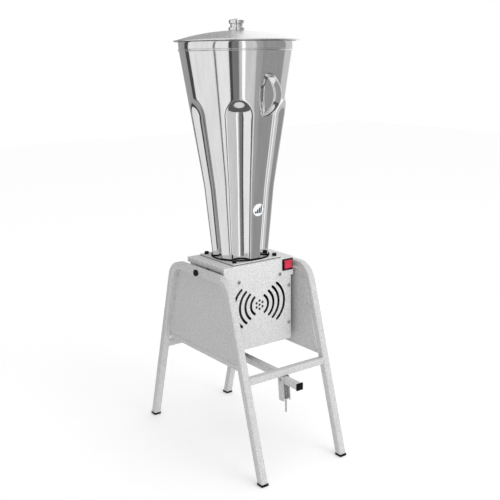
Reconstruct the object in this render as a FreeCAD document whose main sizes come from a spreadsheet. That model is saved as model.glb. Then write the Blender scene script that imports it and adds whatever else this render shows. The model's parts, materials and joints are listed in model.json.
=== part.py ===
import FreeCAD, Part
import math
import os
import re
import Sketcher
from FreeCAD import Placement, Rotation, Vector

# Floor-standing tilting blender: a splayed square-tube stand, a sheet-metal head that tips forward on two
# pivot bolts, and a tall fluted steel cup.  +Z is up, -Y is the front (switch and vents), the origin is on
# the floor in the middle of the stand.  Millimetres.

DIMENSIONS = {
    # stand
    "frame_inner": 133, "tube": 22, "tube_wall": 1.5, "frame_top": 556, "foot_spread": 306,
    "leg_angle": 15.9, "bend_radius": 66, "foot_height": 7, "crossbar": 20,
    "front_bar_top": 286, "rear_bar_top": 277, "front_bar_reach": 216, "rear_bar_reach": 218.5,
    "centre_bar_side": 22, "centre_bar_top": 281,
    "panel_sheet": 1.5, "panel_bottom": 293, "panel_gap": 3, "pivot_height": 545,
    # housing
    "pan_side": 125, "pan_front": 95, "pan_top": 570, "skin": 1.5, "apron": 56, "flange": 14,
    "shell_side": 117, "shell_back": 93, "cover_front": 93.5, "housing_bottom": 315, "cover_top": 530,
    "vent_height": 442, "vent_slot": 8, "pivot_bolt": 6, "bush_radius": 10, "running_gap": 0.05,
    "switch_side": 102.5, "switch_height": 548, "bezel_width": 38, "bezel_height": 34,
    # cup and lid
    "plate_side": 172, "plate_sheet": 3.5, "gasket": 1.5, "plate_bolt_reach": 72, "cup_bottom": 575,
    "foot_radius": 82, "waist_radius": 102.5, "waist_rise": 210, "mouth_radius": 162.8, "mouth_rise": 588,
    "rim_radius": 165.5, "rim_rise": 613.5, "cup_sheet": 1.2,
    "flute_foot_reach": 117, "flute_waist_reach": 142, "flute_top_reach": 187, "flute_top_rise": 405,
    "flute_foot": 44, "flute_waist": 50, "flute_top": 66, "cup_turn": -4, "front_turn": -1.5,
    "lid_radius": 178, "lid_bottom": 1189, "lid_sheet": 1.2, "dome_radius": 590, "dome_top": 1218.5,
    "knob_top": 1250, "knob_radius": 22.5, "knob_waist": 18.25, "knob_foot": 23.5,
    "handle_width": 26, "handle_thick": 9,
    # motor and drive
    "motor_radius": 68, "motor_bottom": 360, "motor_top": 505, "motor_wall": 3.5,
    "shaft": 7, "spindle": 7.5, "hub_radius": 22, "core_radius": 39.5,
    # pedal
    "pedal_side": 10.5, "pedal_height": 254, "pedal_pin_reach": 218, "pedal_front": 288.5, "pedal_half": 9.5,
    "rod_reach": 229, "rod_radius": 2.5,
}

doc = FreeCAD.newDocument("tilting_blender")
sheet = doc.addObject("Spreadsheet::Sheet", "Dimensions")
for row, (alias, number) in enumerate(DIMENSIONS.items(), start=1):
    sheet.set(f"A{row}", alias)
    sheet.set(f"B{row}", str(number))
    sheet.setAlias(f"B{row}", alias)
doc.recompute()

WORD = re.compile(r"[a-z_]+")
NODES = []
TURN = {"x": Rotation(Vector(0, 1, 0), 90), "y": Rotation(Vector(1, 0, 0), -90), "z": Rotation()}
BASE = ("Placement.Base.x", "Placement.Base.y", "Placement.Base.z")


def bound(text):
    """The sheet expression for a sum such as 'frame_inner + tube'."""
    return WORD.sub(lambda word: "Dimensions." + word.group(), str(text))


def value(text):
    """The number that a plain sum of terms and products stands for."""
    total, sign = 0.0, 1
    for term in str(text).split():
        if term in "+-":
            sign = 1 if term == "+" else -1
            continue
        if term.startswith("-"):
            sign, term = -sign, term[1:]
        product = float(sign)
        for factor in term.split("*"):
            product *= DIMENSIONS[factor] if factor in DIMENSIONS else float(factor)
        total += product
        sign = 1
    return total


def drive(item, sizes):
    for prop, text in sizes.items():
        item.setExpression(prop, bound(text))
    return item


def node(label, item):
    """Name a finished sub-part and put it on the export list."""
    item.Label = label
    NODES.append(item)
    return item


def box(x, y, z, length, width, height):
    """Box from its low corner and its extents."""
    item = doc.addObject("Part::Box", "Box")
    return drive(item, {"Length": length, "Width": width, "Height": height, **dict(zip(BASE, (x, y, z)))})


def block(x, y, z, length, width, height):
    """Box centred on x and y that stands on z."""
    return box(f"{x} - ({length})/2", f"{y} - ({width})/2", z, length, width, height)


def cylinder(axis, x, y, z, radius, height):
    """Cylinder that starts at a point and runs along +x, +y or +z."""
    item = doc.addObject("Part::Cylinder", "Cylinder")
    item.Placement = Placement(Vector(), TURN[axis])
    return drive(item, {"Radius": radius, "Height": height, **dict(zip(BASE, (x, y, z)))})


def hexagon(axis, x, y, z, radius, height):
    """Hexagonal prism, for nuts."""
    item = doc.addObject("Part::Prism", "Hexagon")
    item.Polygon = 6
    item.Placement = Placement(Vector(), TURN[axis])
    return drive(item, {"Circumradius": radius, "Height": height, **dict(zip(BASE, (x, y, z)))})


def sphere(x, y, z, radius):
    item = doc.addObject("Part::Sphere", "Sphere")
    return drive(item, {"Radius": radius, **dict(zip(BASE, (x, y, z)))})


def fuse(*items):
    item = doc.addObject("Part::MultiFuse", "Fuse")
    item.Shapes = list(items)
    return item


def common(first, second):
    item = doc.addObject("Part::Common", "Common")
    item.Base = first
    item.Tool = second
    return item


def cut(base, *tools):
    item = doc.addObject("Part::Cut", "Cut")
    item.Base = base
    item.Tool = fuse(*tools) if len(tools) > 1 else tools[0]
    return item


def group(*items):
    """Separate solids that share one node."""
    item = doc.addObject("Part::Compound", "Group")
    item.Links = list(items)
    return item


def ring(axis, x, y, z, outer, inner, height):
    return cut(cylinder(axis, x, y, z, outer, height), cylinder(axis, x, y, z, inner, height))


def sketch_on(owner, plane, offset="0"):
    """Sketch on one of the body's own origin planes, moved along the plane's normal."""
    item = owner.newObject("Sketcher::SketchObject", "Sketch")
    support = [face for face in owner.Origin.OriginFeatures if face.Role == plane][0]
    item.AttachmentSupport = [(support, "")]
    item.MapMode = "FlatFace"
    item.setExpression("AttachmentOffset.Base.z", bound(offset))
    return item


def pin_down(sketch, axis, geo, end, text):
    """Hold one coordinate of a sketch point at a sum; axis 0 is across, 1 is up."""
    number = value(text)
    if abs(number) < 1e-9:
        sketch.addConstraint(Sketcher.Constraint("PointOnObject", geo, end, (-2, -1)[axis]))
        return
    points = (-1, 1, geo, end) if number > 0 else (geo, end, -1, 1)
    kind = ("DistanceX", "DistanceY")[axis]
    index = sketch.addConstraint(Sketcher.Constraint(kind, *points, abs(number)))
    sketch.setExpression(f"Constraints[{index}]", bound(text if number > 0 else f"-({text})"))


def turned(points):
    """Solid of revolution about Z from (radius, height) corners."""
    owner = doc.addObject("PartDesign::Body", "Turned")
    profile = sketch_on(owner, "XZ_Plane")
    corners = [Vector(value(r), value(z), 0) for r, z in points]
    count = len(corners)
    for i in range(count):
        profile.addGeometry(Part.LineSegment(corners[i], corners[(i + 1) % count]))
    for i in range(count):
        profile.addConstraint(Sketcher.Constraint("Coincident", i, 2, (i + 1) % count, 1))
    for i, (r, z) in enumerate(points):
        pin_down(profile, 0, i, 1, r)
        pin_down(profile, 1, i, 1, z)
    spin = owner.newObject("PartDesign::Revolution", "Revolution")
    spin.Profile = profile
    spin.ReferenceAxis = (profile, ["V_Axis"])
    spin.Angle = 360
    owner.Tip = spin
    return owner


def arch(inset, bottom, side, thick):
    """Slab with the splayed outline of the side frame, shrunk by inset, centred on x = side."""
    owner = doc.addObject("PartDesign::Body", "Arch")
    outline = sketch_on(owner, "YZ_Plane", side)
    slope = math.radians(DIMENSIONS["leg_angle"])
    shrink, low = value(inset), value(bottom)
    radius = DIMENSIONS["bend_radius"] - shrink
    top = DIMENSIONS["frame_top"] - shrink
    reach = DIMENSIONS["foot_spread"] - shrink / math.cos(slope)
    centre = reach - (top - radius) * math.tan(slope) - radius / math.cos(slope)
    corner = reach - low * math.tan(slope)
    bend = Vector(centre + radius * math.cos(slope), top - radius + radius * math.sin(slope), 0)
    flip = Vector(-bend.x, bend.y, 0)
    arc = Part.Circle(Vector(centre, top - radius, 0), Vector(0, 0, 1), radius)
    mirrored = Part.Circle(Vector(-centre, top - radius, 0), Vector(0, 0, 1), radius)
    outline.addGeometry(Part.LineSegment(Vector(corner, low, 0), bend))
    outline.addGeometry(Part.ArcOfCircle(arc, slope, math.pi / 2))
    outline.addGeometry(Part.LineSegment(Vector(centre, top, 0), Vector(-centre, top, 0)))
    outline.addGeometry(Part.ArcOfCircle(mirrored, math.pi / 2, math.pi - slope))
    outline.addGeometry(Part.LineSegment(flip, Vector(-corner, low, 0)))
    outline.addGeometry(Part.LineSegment(Vector(-corner, low, 0), Vector(corner, low, 0)))
    for joint in ((0, 2, 1, 1), (1, 2, 2, 1), (2, 2, 3, 1), (3, 2, 4, 1)):
        outline.addConstraint(Sketcher.Constraint("Tangent", *joint))
    outline.addConstraint(Sketcher.Constraint("Coincident", 4, 2, 5, 1))
    outline.addConstraint(Sketcher.Constraint("Coincident", 5, 2, 0, 1))
    outline.addConstraint(Sketcher.Constraint("Horizontal", 2))
    outline.addConstraint(Sketcher.Constraint("Symmetric", 0, 1, 4, 2, -2))
    outline.addConstraint(Sketcher.Constraint("Equal", 1, 3))
    outline.addConstraint(Sketcher.Constraint("Equal", 0, 4))
    size = outline.addConstraint(Sketcher.Constraint("Radius", 1, radius))
    outline.setExpression(f"Constraints[{size}]", bound(f"bend_radius - ({inset})"))
    size = outline.addConstraint(Sketcher.Constraint("DistanceY", -1, 1, 2, 1, top))
    outline.setExpression(f"Constraints[{size}]", bound(f"frame_top - ({inset})"))
    size = outline.addConstraint(Sketcher.Constraint("DistanceY", -1, 1, 0, 1, low))
    outline.setExpression(f"Constraints[{size}]", bound(bottom))
    size = outline.addConstraint(Sketcher.Constraint("DistanceX", -1, 1, 0, 1, corner))
    lean = "Dimensions.leg_angle"
    shift = f"({bound(inset)}) / cos({lean}) - ({bound(bottom)}) * tan({lean})"
    outline.setExpression(f"Constraints[{size}]", f"Dimensions.foot_spread - {shift}")
    pad = owner.newObject("PartDesign::Pad", "Pad")
    pad.Profile = outline
    pad.SideType = "Symmetric"
    pad.setExpression("Length", bound(thick))
    owner.Tip = pad
    return owner


def leg_y(height):
    """Distance of a leg's centreline from the middle at a height."""
    slope = math.radians(DIMENSIONS["leg_angle"])
    return DIMENSIONS["foot_spread"] - DIMENSIONS["tube"] / 2 / math.cos(slope) - height * math.tan(slope)


# ---------------------------------------------------------------- stand
SIDES = (("left", -1), ("right", 1))

for name, sign in SIDES:
    middle = f"{sign}*(frame_inner + tube/2)"
    middle_plain = f"{sign}*frame_inner + {sign * 0.5}*tube"
    solid = cut(arch("0", "foot_height", middle, "tube"), arch("tube", "0", middle, "tube + 2"))
    bore = cut(arch("tube_wall", "0", middle, "tube - 2*tube_wall"),
               arch("tube - tube_wall", "-5", middle, "tube"))
    bolt_hole = cylinder("x", f"{middle} - tube", "0", "pivot_height", "pivot_bolt + running_gap", "2*tube")
    node(f"{name}_side_frame", cut(solid, bore, bolt_hole))

    low_x = "frame_inner" if sign > 0 else "-frame_inner - panel_sheet"
    centre_x = f"{sign}*(frame_inner + panel_sheet/2)"
    panel = arch("tube + panel_gap", "panel_bottom", centre_x, "panel_sheet")
    hem_x = "frame_inner + panel_sheet" if sign > 0 else "-frame_inner - panel_sheet - 1.2"
    hem = box(hem_x, "-190", "panel_bottom", "1.2", "380", "14")
    node(f"{name}_side_panel", fuse(panel, hem))


def tube_bar(x, y, z, length, width, height, along):
    """Square tube between two faces, open ended along x or y."""
    outer = box(x, y, z, length, width, height)
    if along == "x":
        inner = box(x, f"{y} + tube_wall", f"{z} + tube_wall", length,
                    f"{width} - 2*tube_wall", f"{height} - 2*tube_wall")
    else:
        inner = box(f"{x} + tube_wall", y, f"{z} + tube_wall", f"{length} - 2*tube_wall",
                    width, f"{height} - 2*tube_wall")
    return cut(outer, inner)


node("front_crossbar", tube_bar("-frame_inner", "-front_bar_reach - crossbar/2", "front_bar_top - crossbar",
                                "2*frame_inner", "crossbar", "crossbar", "x"))
node("rear_crossbar", tube_bar("-frame_inner", "rear_bar_reach - crossbar/2", "rear_bar_top - crossbar",
                               "2*frame_inner", "crossbar", "crossbar", "x"))
node("centre_bar", tube_bar("-centre_bar_side - crossbar/2", "-front_bar_reach + crossbar/2",
                            "centre_bar_top - crossbar", "crossbar",
                            "front_bar_reach + rear_bar_reach - crossbar", "crossbar", "y"))

tabs = []
for sign in (-1, 1):
    tab_x = "frame_inner - 2" if sign > 0 else "-frame_inner"
    for height in (298, 422, 500):
        reach = leg_y(height + 5) - 12
        for facing in (-1, 1):
            tabs.append(block(f"{sign}*(frame_inner - 1)", f"{facing * reach:.2f}", f"{height}", "2", "22", "10"))
node("panel_weld_tabs", group(*tabs))

caps = []
for sign in (-1, 1):
    for facing in (-1, 1):
        cap_x = f"{sign}*(frame_inner + tube/2)"
        foot = block(cap_x, f"{facing * leg_y(3.5):.3f}", "0", "tube + 1", "tube + 2.4", "foot_height")
        plug = doc.addObject("Part::Box", "Plug")
        lean = Rotation(Vector(1, 0, 0), facing * DIMENSIONS["leg_angle"])
        plug.Placement = Placement(Vector(), lean)
        side = "tube - 2*tube_wall - 0.4"
        start = lean.multVec(Vector(0, -9.3, 0))
        drive(plug, {"Length": side, "Width": side, "Height": "16",
                     "Placement.Base.x": f"{cap_x} - ({side})/2",
                     "Placement.Base.y": f"{facing * leg_y(4) + start.y:.3f}",
                     "Placement.Base.z": f"{4 + start.z:.3f}"})
        caps.append(fuse(foot, plug))
node("foot_caps", group(*caps))

bolts, nuts, bushes = [], [], []
for sign in (-1, 1):
    start = {-1: "-frame_inner - tube", 1: "98"}[sign]
    shank = cylinder("x", start, "0", "pivot_height", "pivot_bolt", "frame_inner + tube - 98")
    head_x = {-1: "-frame_inner - tube - 6", 1: "frame_inner + tube"}[sign]
    head = cylinder("x", head_x, "0", "pivot_height", "9.5", "6")
    bolts.append(fuse(shank, head))
    nut_x = {-1: "-110.5", 1: "100.5"}[sign]
    nuts.append(cut(hexagon("x", nut_x, "0", "pivot_height", "10.5", "10"),
                    cylinder("x", nut_x, "0", "pivot_height", "pivot_bolt", "10")))
    bush_x = {-1: "-132.5", 1: "111"}[sign]
    bushes.append(ring("x", bush_x, "0", "pivot_height", "bush_radius", "pivot_bolt + running_gap", "21.5"))
node("pivot_bolts", group(*bolts))
node("pivot_nuts", group(*nuts))

# ---------------------------------------------------------------- pedal
channel = fuse(block("-pedal_side", "-207.5", "192", "24", "2", "72"),
               box("-pedal_side - 12", "-230", "192", "2", "23.5", "78"),
               box("-pedal_side + 10", "-230", "192", "2", "23.5", "78"),
               block("-pedal_side", "-218.5", "196", "22", "22", "2"))
channel.Placement = Placement(Vector(0, 0, 0), Rotation(Vector(1, 0, 0), -5), Vector(0, -216, 266))
above_bar = box("-40", "-240", "front_bar_top - crossbar", "60", "40", "20")
behind_bar = box("-40", "-front_bar_reach + crossbar/2", "240", "60", "10", "40")
pin_hole = cylinder("x", "-30", "-pedal_pin_reach", "pedal_height", "3", "40")
rod_hole = cylinder("z", "-pedal_side", "-rod_reach", "190", "rod_radius + 0.4", "20")
bracket = cut(channel, above_bar, behind_bar, pin_hole, rod_hole)
node("pedal_bracket", bracket)
node("pedal_pin", fuse(cylinder("x", "-pedal_side - 14", "-pedal_pin_reach", "pedal_height", "3", "28"),
                       cylinder("x", "-pedal_side - 16", "-pedal_pin_reach", "pedal_height", "4.5", "2")))
coils = [ring("x", f"-pedal_side + {12.2 + 1.5 * turn}", "-pedal_pin_reach", "pedal_height", "5.2", "3.4",
              "1.3") for turn in range(3)]
bridge = box("-pedal_side + 12.2", "-pedal_pin_reach + 3.6", "pedal_height - 0.7", "4.3", "1.4", "1.4")
node("pedal_spring", fuse(bridge, *coils))

arm_bottom = "pedal_height - pedal_half"
arm_y = "-pedal_front"
arm_length = "pedal_front - pedal_pin_reach + 4"
arm = cut(box("-pedal_side - pedal_half", arm_y, arm_bottom, "2*pedal_half", arm_length, "2*pedal_half"),
          box("-pedal_side - pedal_half + tube_wall", arm_y, f"{arm_bottom} + tube_wall",
              "2*pedal_half - 2*tube_wall", arm_length, "2*pedal_half - 2*tube_wall"),
          cylinder("x", "-30", "-pedal_pin_reach", "pedal_height", "3 + running_gap", "40"))
node("pedal_arm", arm)
node("pedal_end_plug", fuse(block("-pedal_side", "-pedal_front - 1.5", f"{arm_bottom} - 1", "23", "3",
                                  "2*pedal_half + 2"),
                            block("-pedal_side", "-pedal_front + 6", f"{arm_bottom} + tube_wall",
                                  "2*pedal_half - 2*tube_wall", "12", "2*pedal_half - 2*tube_wall")))
node("pedal_rod", fuse(cylinder("z", "-pedal_side", "-rod_reach", "157", "rod_radius", "85"),
                       cylinder("z", "-pedal_side", "-rod_reach", "239", "4.5", "3")))

# ---------------------------------------------------------------- tilting housing
SHELL_INSIDE = "shell_side - skin"

pan_skin = cut(box("-pan_side", "-pan_front", "pan_top - flange", "2*pan_side", "2*pan_front", "flange"),
               box("-pan_side + skin", "-pan_front + skin", "pan_top - flange - 1", "2*pan_side - 2*skin",
                   "2*pan_front - 2*skin", "flange + 1 - skin"))
apron = box("-pan_side", "-pan_front", "pan_top - apron", "2*pan_side", "skin", "apron")
hub_hole = cylinder("z", "0", "0", "pan_top - 10", "hub_radius", "20")
plate_bolt_holes = [cylinder("z", f"{i}*plate_bolt_reach", f"{j}*plate_bolt_reach", "pan_top - 20", "4", "40")
                    for i in (-1, 1) for j in (-1, 1)]
well_hole = box("switch_side - 16", "-pan_front - 2", "switch_height - 15.5", "32", "10", "31")
apron_screw_holes = [cylinder("y", f"{i}*74", "-pan_front - 5", "522", "2", "10") for i in (-1, 1)]
node("top_pan", cut(fuse(pan_skin, apron), hub_hole, well_hole, *plate_bolt_holes, *apron_screw_holes))

shell_height = "pan_top - skin - housing_bottom"
shell_box = box("-shell_side", "-cover_front + skin", "housing_bottom", "2*shell_side",
                "shell_back + cover_front - skin", shell_height)
shell_void = box(f"-({SHELL_INSIDE})", "-cover_front + 2*skin", "housing_bottom - 1",
                 f"2*({SHELL_INSIDE})", "shell_back + cover_front - 3*skin", f"{shell_height} + 2")
shell_front = box("-shell_side + 16", "-cover_front - 5", "housing_bottom - 1", "2*shell_side - 32", "10",
                  f"{shell_height} + 2")
switch_notch = box("switch_side - 16.5", "-cover_front - 5", "switch_height - 16", "33", "35", "32")
bush_hole = cylinder("x", "-150", "0", "pivot_height", "bush_radius", "300")
gland_hole = cylinder("y", "-60", "shell_back - 10", "350", "8", "20")
cover_screws = [(i * 109, z) for i in (-1, 1) for z in (367, 483)]
screw_holes = [cylinder("y", f"{x}", "-cover_front - 5", f"{z}", "2", "12") for x, z in cover_screws]
node("housing_shell", cut(shell_box, shell_void, shell_front, switch_notch, bush_hole, gland_hole,
                          *screw_holes))


def vent_slot(side, middle, radius, half_angle):
    """Curved slot with round ends, bulging away from the middle of the cover."""
    x = f"{side * middle}"
    band = ring("y", x, "-cover_front - 5", "vent_height", f"{radius} + vent_slot/2",
                f"{radius} - vent_slot/2", "10")
    tall = radius * math.sin(math.radians(half_angle))
    near = radius * math.cos(math.radians(half_angle))
    low_x = side * (middle + near) if side > 0 else side * (middle + near) - 60
    window = box(f"{low_x:.3f}", "-cover_front - 6", f"vent_height - {tall + 10:.3f}", "60", "12",
                 f"{2 * tall + 20:.3f}")
    ends = [cylinder("y", f"{side * (middle + near):.3f}", "-cover_front - 5",
                     f"vent_height + {k * tall:.3f}", "vent_slot/2", "10") for k in (-1, 1)]
    return fuse(common(band, window), *ends)


VENTS = ((0.5, 30.5, 55), (4.4, 46.6, 50.6), (11, 59.3, 51.6), (21.5, 69.5, 52.3))
slots = [vent_slot(side, *vent) for side in (-1, 1) for vent in VENTS]
rosette = [cylinder("y", "0", "-cover_front - 5", "vent_height", "3.8", "10")]
for turn in range(6):
    angle = math.radians(60 * turn + 30)
    rosette.append(cylinder("y", f"{12.5 * math.cos(angle):.3f}", "-cover_front - 5",
                            f"vent_height + {12.5 * math.sin(angle):.3f}", "3.8", "10"))
cover_sheet = box("-shell_side", "-cover_front", "housing_bottom", "2*shell_side", "skin",
                  "cover_top - housing_bottom")
cover_holes = [cylinder("y", f"{x}", "-cover_front - 5", f"{z}", "2", "12")
               for x, z in cover_screws + [(-74, 522), (74, 522)]]
node("front_cover", cut(cover_sheet, *slots, *rosette, *cover_holes))

screws = []
for x, z in cover_screws:
    screws.append(fuse(cylinder("y", f"{x}", "-cover_front - 3", f"{z}", "5", "3"),
                       cylinder("y", f"{x}", "-cover_front", f"{z}", "2", "10")))
for x in (-74, 74):
    screws.append(fuse(cylinder("y", f"{x}", "-pan_front - 3", "522", "5", "3"),
                       cylinder("y", f"{x}", "-pan_front", "522", "2", "10")))
node("cover_screws", group(*screws))
node("pivot_bushes", group(*bushes))
pivot_plates = []
for sign in (-1, 1):
    low_x = {-1: "-shell_side + skin", 1: "111"}[sign]
    plate = box(low_x, "-35", "500", "shell_side - skin - 111", "70", "66")
    pivot_plates.append(cut(plate, cylinder("x", "-150", "0", "pivot_height", "bush_radius", "300")))
node("pivot_plates", group(*pivot_plates))

bezel_solid = fuse(block("switch_side", "-pan_front - 1.5", "switch_height - bezel_height/2", "bezel_width",
                         "3", "bezel_height"),
                   block("switch_side", "-pan_front + 13", "switch_height - 15.5", "32", "26", "31"))
bezel_void = block("switch_side", "-pan_front + 9", "switch_height - 14.5", "30", "30", "29")
axle_hole = cylinder("x", "switch_side - 20", "-pan_front + 2", "switch_height", "1.55", "40")
node("switch_bezel", cut(bezel_solid, bezel_void, axle_hole))
rocker = common(cylinder("x", "switch_side - 14.6", "-pan_front + 2", "switch_height", "14.2", "29.2"),
                box("switch_side - 15", "-pan_front - 7", "switch_height - 15", "30", "20", "30"))
node("switch_rocker", fuse(rocker, cylinder("x", "switch_side - 15.9", "-pan_front + 2", "switch_height",
                                            "1.5", "31.8")))
node("cable_gland", cut(fuse(cylinder("y", "-60", "shell_back - 8", "350", "8", "24"),
                             hexagon("y", "-60", "shell_back", "350", "12", "6"),
                             hexagon("y", "-60", "shell_back - skin - 5", "350", "12", "5")),
                        cylinder("y", "-60", "shell_back - 10", "350", "4.5", "30")))

# ---------------------------------------------------------------- cup
plate_holes = [cylinder("z", "0", "0", "pan_top - 5", "hub_radius", "15")]
plate_holes += [cylinder("z", f"{i}*plate_bolt_reach", f"{j}*plate_bolt_reach", "pan_top - 5", "4", "15")
                for i in (-1, 1) for j in (-1, 1)]
node("base_gasket", cut(block("0", "0", "pan_top", "plate_side", "plate_side", "gasket"),
                        *plate_holes))
node("cup_base_plate", cut(block("0", "0", "pan_top + gasket", "plate_side", "plate_side", "plate_sheet"),
                           *plate_holes))
plate_bolts = []
for i in (-1, 1):
    for j in (-1, 1):
        x, y = f"{i}*plate_bolt_reach", f"{j}*plate_bolt_reach"
        plate_bolts.append(fuse(cylinder("z", x, y, "cup_bottom - 20", "4", "22"),
                                cylinder("z", x, y, "cup_bottom", "6.5", "7.5"),
                                hexagon("z", x, y, "pan_top - skin - 6", "7.5", "6")))
node("plate_bolts", group(*plate_bolts))
seal = doc.addObject("Part::Torus", "Seal")
drive(seal, {"Radius1": "foot_radius + 2.6", "Radius2": "2", "Placement.Base.z": "cup_bottom + 2"})
node("foot_ring", seal)


def tapered(grow, lift, top):
    """The cup's plain two-slope body; grow widens it, lift raises its floor."""
    return turned([("0", f"cup_bottom + {lift}"), (f"foot_radius + {grow}", f"cup_bottom + {lift}"),
                   (f"waist_radius + {grow}", "cup_bottom + waist_rise"),
                   (f"mouth_radius + {grow}", "cup_bottom + mouth_rise"),
                   (f"mouth_radius + {grow}", f"cup_bottom + rim_rise + {top}"),
                   ("0", f"cup_bottom + rim_rise + {top}")])


def flutes(grow):
    """Six tapering round-bottomed cutters that lean outward beside the cup wall."""
    tools = []
    foot, waist, top = ((DIMENSIONS[f"flute_{name}_reach"], rise) for name, rise in
                        (("foot", 0), ("waist", DIMENSIONS["waist_rise"]), ("top", DIMENSIONS["flute_top_rise"])))
    for count in range(6):
        angle = 60 * count
        across, along = math.cos(math.radians(angle)), math.sin(math.radians(angle))
        for low, high, names in ((foot, waist, ("foot", "waist")), (waist, top, ("waist", "top"))):
            reach = f"flute_{names[0]}_reach"
            tilt = math.degrees(math.atan2(high[0] - low[0], high[1] - low[1]))
            cone = doc.addObject("Part::Cone", "Flute")
            turn = Rotation(Vector(0, 0, 1), angle) * Rotation(Vector(0, 1, 0), tilt)
            cone.Placement = Placement(Vector(), turn)
            drive(cone, {"Radius1": f"flute_{names[0]} + {grow}", "Radius2": f"flute_{names[1]} + {grow}",
                         "Height": f"{math.hypot(high[0] - low[0], high[1] - low[1]):.4f}",
                         "Placement.Base.x": f"{across:.6f} * {reach}",
                         "Placement.Base.y": f"{along:.6f} * {reach}",
                         "Placement.Base.z": f"cup_bottom + {low[1]}"})
            end = sphere(f"{across:.6f} * flute_{names[1]}_reach", f"{along:.6f} * flute_{names[1]}_reach",
                         f"cup_bottom + {high[1]}", f"flute_{names[1]} + {grow}")
            tools += [cone, end]
    return tools


def with_cup(item, turn="cup_turn"):
    """Turn a cup piece about the cup's axis, because the cup stands a few degrees round from the front."""
    item.setExpression("Placement.Rotation.Angle", bound(turn))
    return item


hub_in_cup = cylinder("z", "0", "0", "cup_bottom - 5", "hub_radius", "30")
cup_outside = cut(tapered("0", "0", "0"), *flutes("0"))
cup_inside = cut(tapered("-cup_sheet", "cup_sheet", "5"), *flutes("cup_sheet"))
node("cup", with_cup(cut(cup_outside, cup_inside, hub_in_cup)))
node("cup_rim", fuse(ring("z", "0", "0", "cup_bottom + mouth_rise", "rim_radius", "mouth_radius",
                          "rim_rise - mouth_rise"),
                     ring("z", "0", "0", "cup_bottom + mouth_rise", "rim_radius + 1", "mouth_radius", "3")))

label_disc = cylinder("y", "0", "-115", "724", "20", "40")
label_skin = cut(turned([("0", "690"), ("foot_radius + 11.83", "690"), ("foot_radius + 19.49", "768.5"),
                         ("0", "768.5")]), tapered("0", "0", "0"))
node("capacity_label", with_cup(common(label_disc, label_skin), "front_turn"))

path = doc.addObject("Part::Feature", "HandlePath")
loop = Part.BSplineCurve()
loop.interpolate([Vector(0, -144, 1104), Vector(0, -161, 1095), Vector(0, -177, 1080), Vector(0, -187, 1062),
                  Vector(0, -189.5, 1045), Vector(0, -183, 1026), Vector(0, -167, 1009),
                  Vector(0, -148, 997), Vector(0, -126, 989)])
path.Shape = loop.toShape()
section = doc.addObject("Part::Ellipse", "HandleSection")
drive(section, {"MajorRadius": "handle_width/2", "MinorRadius": "handle_thick/2"})
start_slope = math.degrees(math.atan2(loop.tangent(0)[0].z, -loop.tangent(0)[0].y))
section.Placement = Placement(Vector(0, -144, 1104), Rotation(Vector(1, 0, 0), 90 - start_slope))
sweep = doc.addObject("Part::Sweep", "HandleSweep")
sweep.Sections = [section]
sweep.Spine = (path, ["Edge1"])
sweep.Solid = True
node("handle", with_cup(cut(sweep, tapered("0", "0", "0")), "front_turn"))
mounting = []
for height, reach in ((1124, 154), (972, 131)):
    pad = cylinder("y", "0", f"-{reach} - 8", f"{height}", "9", "20")
    skin = cut(tapered("1.5", "0", "0"), tapered("0", "0", "0"))
    mounting.append(common(pad, skin))
node("handle_mounts", with_cup(cut(group(*mounting), sweep), "front_turn"))

# ---------------------------------------------------------------- lid
brim = ring("z", "0", "0", "lid_bottom", "lid_radius - 1.8", "158", "1.5")
roll = doc.addObject("Part::Torus", "Roll")
drive(roll, {"Radius1": "lid_radius - 1.9", "Radius2": "1.9", "Placement.Base.z": "lid_bottom + 1.9"})
outer_ball = sphere("0", "0", "dome_top - dome_radius", "dome_radius")
inner_ball = sphere("0", "0", "dome_top - dome_radius", "dome_radius - lid_sheet")
dome = common(cut(outer_ball, inner_ball), cylinder("z", "0", "0", "lid_bottom + 0.5", "lid_radius - 1.9", "60"))
skirt = ring("z", "0", "0", "lid_bottom - 12", "159.2", "158", "13")
node("lid", cut(fuse(brim, roll, dome, skirt), cylinder("z", "0", "0", "lid_bottom + 10", "3", "40")))
node("lid_seal", ring("z", "0", "0", "lid_bottom - 9", "161", "159.2", "7"))
node("lid_knob", cut(turned([("0", "dome_top + 0.1"), ("knob_foot - 1", "dome_top + 0.1"),
                             ("knob_foot", "dome_top + 1.5"), ("knob_foot", "dome_top + 6.5"),
                             ("knob_foot - 2", "dome_top + 8.5"), ("knob_waist + 0.6", "dome_top + 11"),
                             ("knob_waist", "dome_top + 14.5"), ("knob_waist + 0.6", "dome_top + 17"),
                             ("knob_radius - 2", "dome_top + 18.5"), ("knob_radius", "dome_top + 20.5"),
                             ("knob_radius", "dome_top + 26.5"), ("knob_radius - 1.5", "dome_top + 29"),
                             ("knob_radius - 7", "knob_top - 0.4"), ("0", "knob_top")]),
                     cylinder("z", "0", "0", "dome_top - 5", "3", "20")))
node("knob_screw", fuse(cylinder("z", "0", "0", "dome_top - 7", "3", "21"),
                        cylinder("z", "0", "0", "dome_top - lid_sheet - 5", "7", "4.9")))

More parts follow.
